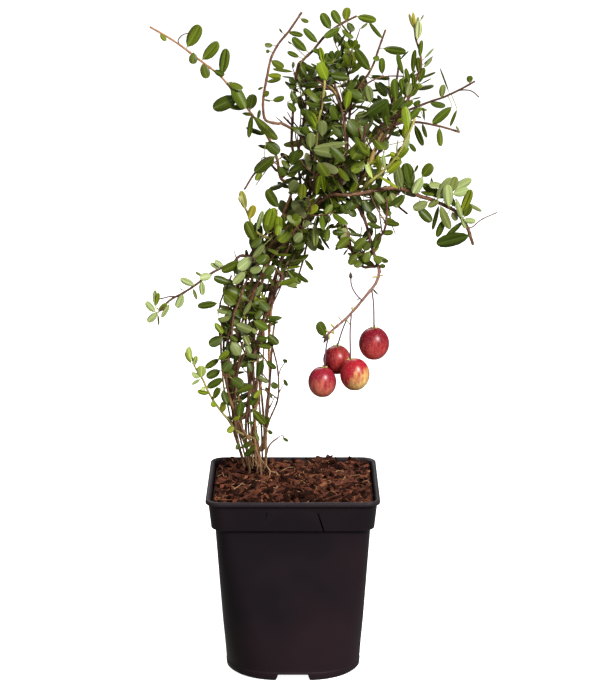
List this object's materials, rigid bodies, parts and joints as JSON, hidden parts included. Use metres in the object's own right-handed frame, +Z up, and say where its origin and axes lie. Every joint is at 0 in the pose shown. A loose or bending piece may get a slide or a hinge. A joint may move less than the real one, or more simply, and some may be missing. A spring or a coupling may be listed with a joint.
{
  "type": "potted cranberry plant",
  "caption": "Cranberry bush in a square black nursery pot: thin trailing stems rise in a bundle, arch to one side and open into a leafy crown, with ripe berries on a hanging runner.",
  "frame": {"origin": "centre of the flat underside of the pot, on the pad between its four drainage channels", "axes": "+Z up, +X to the right and +Y away from the camera as the picture shows the plant, with the pot's sides along X and Y"},
  "size_m": [0.1854, 0.112, 0.3496],
  "materials": {
    "pot": "satin",
    "potting_mix": "rough",
    "bark": "rough",
    "leaf_dark": "satin",
    "leaf_mid": "satin",
    "leaf_pale": "satin",
    "fruit": "glossy"
  },
  "bodies": {
    "root": {"pot": "pot", "potting_mix": "potting_mix", "stem_1": "bark", "stem_2": "bark", "stem_3": "bark", "stem_4": "bark", "stem_5": "bark", "stem_6": "bark", "stem_7": "bark", "stem_8": "bark", "bough_arm_right": "bark", "bough_rise_centre": "bark", "bough_loop": "bark", "bough_left_upper": "bark", "bough_crown_left": "bark", "bough_crown_back": "bark", "bough_back_right": "bark", "bough_rise_right": "bark", "bough_hang": "bark", "fruiting_runner": "fruit", "spray_arm_right": "leaf_mid", "spray_right_upper": "leaf_mid", "spray_right_middle": "leaf_mid", "spray_centre": "leaf_dark", "spray_top_right": "leaf_mid", "spray_crown_top": "leaf_dark", "spray_leader": "leaf_pale", "spray_loop": "leaf_mid", "spray_left_runner": "leaf_dark", "spray_small_left": "leaf_dark", "spray_top_left": "leaf_mid", "spray_crown_left": "leaf_dark", "spray_crown_low": "leaf_dark", "spray_back_top": "leaf_dark", "spray_back_left": "leaf_mid", "spray_back_right": "leaf_mid", "spray_upright": "leaf_mid", "spray_pale_tip": "leaf_mid", "spray_yellow_right": "leaf_pale", "spray_front": "leaf_mid", "spray_centre_front": "leaf_mid", "spray_centre_low": "leaf_dark", "spray_arm_under": "leaf_mid", "spray_arm_back": "leaf_dark", "spray_hang_left": "leaf_mid", "spray_hang_right": "leaf_dark", "spray_under_arch": "leaf_dark", "spray_mid_left": "leaf_pale", "spray_low_left": "leaf_pale", "spray_left_tip": "leaf_pale", "spray_knee_front": "leaf_pale", "spray_knee_right": "leaf_mid", "spray_bundle_1": "leaf_dark", "spray_bundle_2": "leaf_mid", "spray_bundle_3": "leaf_dark", "spray_bundle_4": "leaf_dark", "spray_bundle_5": "leaf_mid", "spray_bundle_6": "leaf_dark"}
  },
  "joints": []
}
